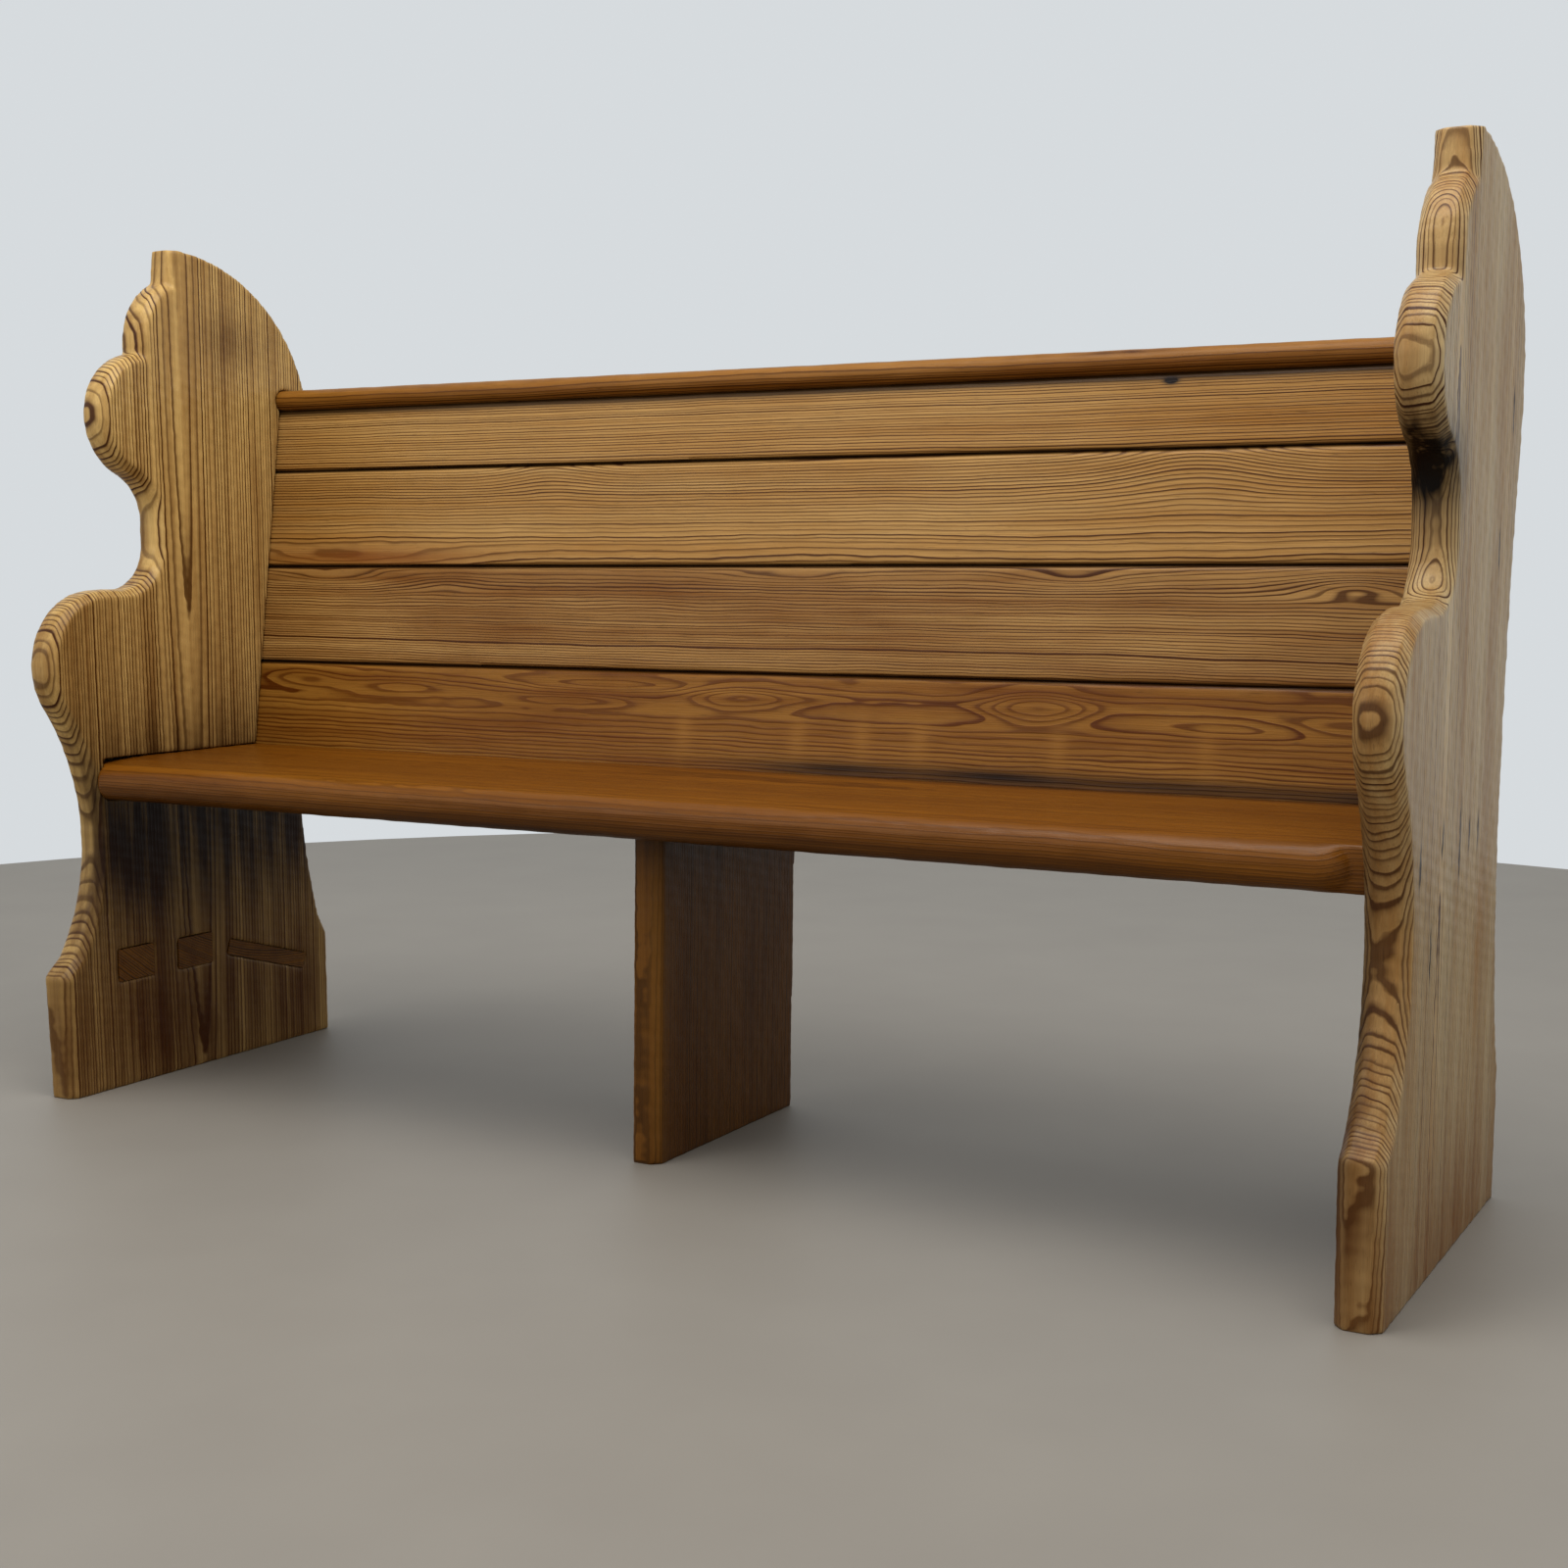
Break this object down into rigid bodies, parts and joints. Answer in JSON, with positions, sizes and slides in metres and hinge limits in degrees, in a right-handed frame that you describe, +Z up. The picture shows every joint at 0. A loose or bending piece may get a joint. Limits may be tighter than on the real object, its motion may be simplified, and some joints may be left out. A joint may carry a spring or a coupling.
{
  "type": "church pew",
  "caption": "Pine church pew with waved solid ends, a plank seat, a boarded reclined back under a rounded cap rail and a centre leg.",
  "frame": {"origin": "on the floor, under the middle of the pew's bounding box", "axes": "+X along the seat, +Y towards the back, +Z up"},
  "size_m": [1.584, 0.444, 1.007],
  "materials": {
    "pine_end": "waxed",
    "pine_seat": "waxed",
    "pine_board": "waxed",
    "pine_leg": "waxed",
    "pine_fill": "waxed",
    "raw_pine": "bare",
    "iron": "dull",
    "steel": "dull"
  },
  "bodies": {
    "root": {"left_end": "pine_end", "right_end": "pine_end", "seat": "pine_seat", "back_board_bottom": "pine_board", "back_board_lower": "pine_board", "back_board_upper": "pine_board", "back_board_top": "pine_board", "cap_rail": "pine_board", "centre_leg": "pine_leg", "back_brace": "raw_pine", "mortise_fill_sliver": "pine_fill", "mortise_fill_front": "pine_fill", "mortise_fill_middle": "pine_fill", "mortise_fill_rear": "pine_fill", "end_nails": "iron", "leg_nails": "iron", "brace_screws": "steel"}
  },
  "joints": []
}
